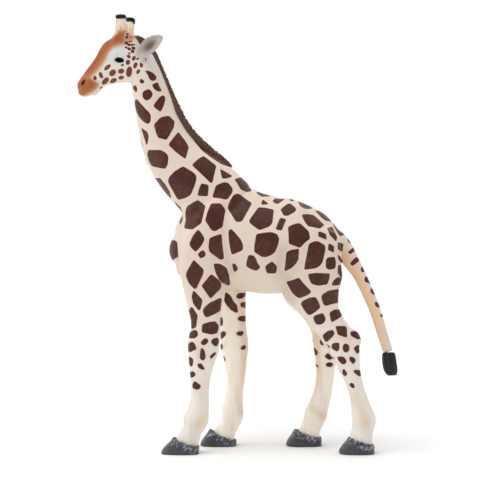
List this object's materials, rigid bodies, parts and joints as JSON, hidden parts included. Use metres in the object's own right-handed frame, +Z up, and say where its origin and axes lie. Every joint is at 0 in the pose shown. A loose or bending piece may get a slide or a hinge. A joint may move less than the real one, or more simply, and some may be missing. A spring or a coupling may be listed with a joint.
{
  "type": "toy giraffe figurine",
  "caption": "Moulded plastic toy figurine of a standing reticulated giraffe, painted, with short horns, a standing mane and a hanging tail.",
  "frame": {"origin": "centre of the bounding box's floor: on the floor, between the feet", "axes": "+Z up; the giraffe faces -X, its left side is towards -Y and its right side towards +Y"},
  "size_m": [0.1613, 0.0416, 0.2171],
  "materials": {
    "coat": "satin paint over moulded vinyl",
    "mane": "satin paint over moulded vinyl",
    "tuft": "satin paint over moulded vinyl",
    "horn_tip": "satin paint over moulded vinyl",
    "hoof": "satin paint over moulded vinyl",
    "eye": "gloss paint"
  },
  "bodies": {
    "root": {"head": "coat", "neck": "coat", "trunk": "coat", "tail": "coat", "tail_tuft": "tuft", "mane": "mane", "leg_front_left": "coat", "leg_front_right": "coat", "leg_hind_left": "coat", "leg_hind_right": "coat", "hoof_front_left": "hoof", "hoof_front_right": "hoof", "hoof_hind_left": "hoof", "hoof_hind_right": "hoof", "ear_left": "coat", "ear_right": "coat", "ossicone_left": "coat", "ossicone_right": "coat", "ossicone_tip_left": "horn_tip", "ossicone_tip_right": "horn_tip", "eye_left": "eye", "eye_right": "eye"}
  },
  "joints": []
}
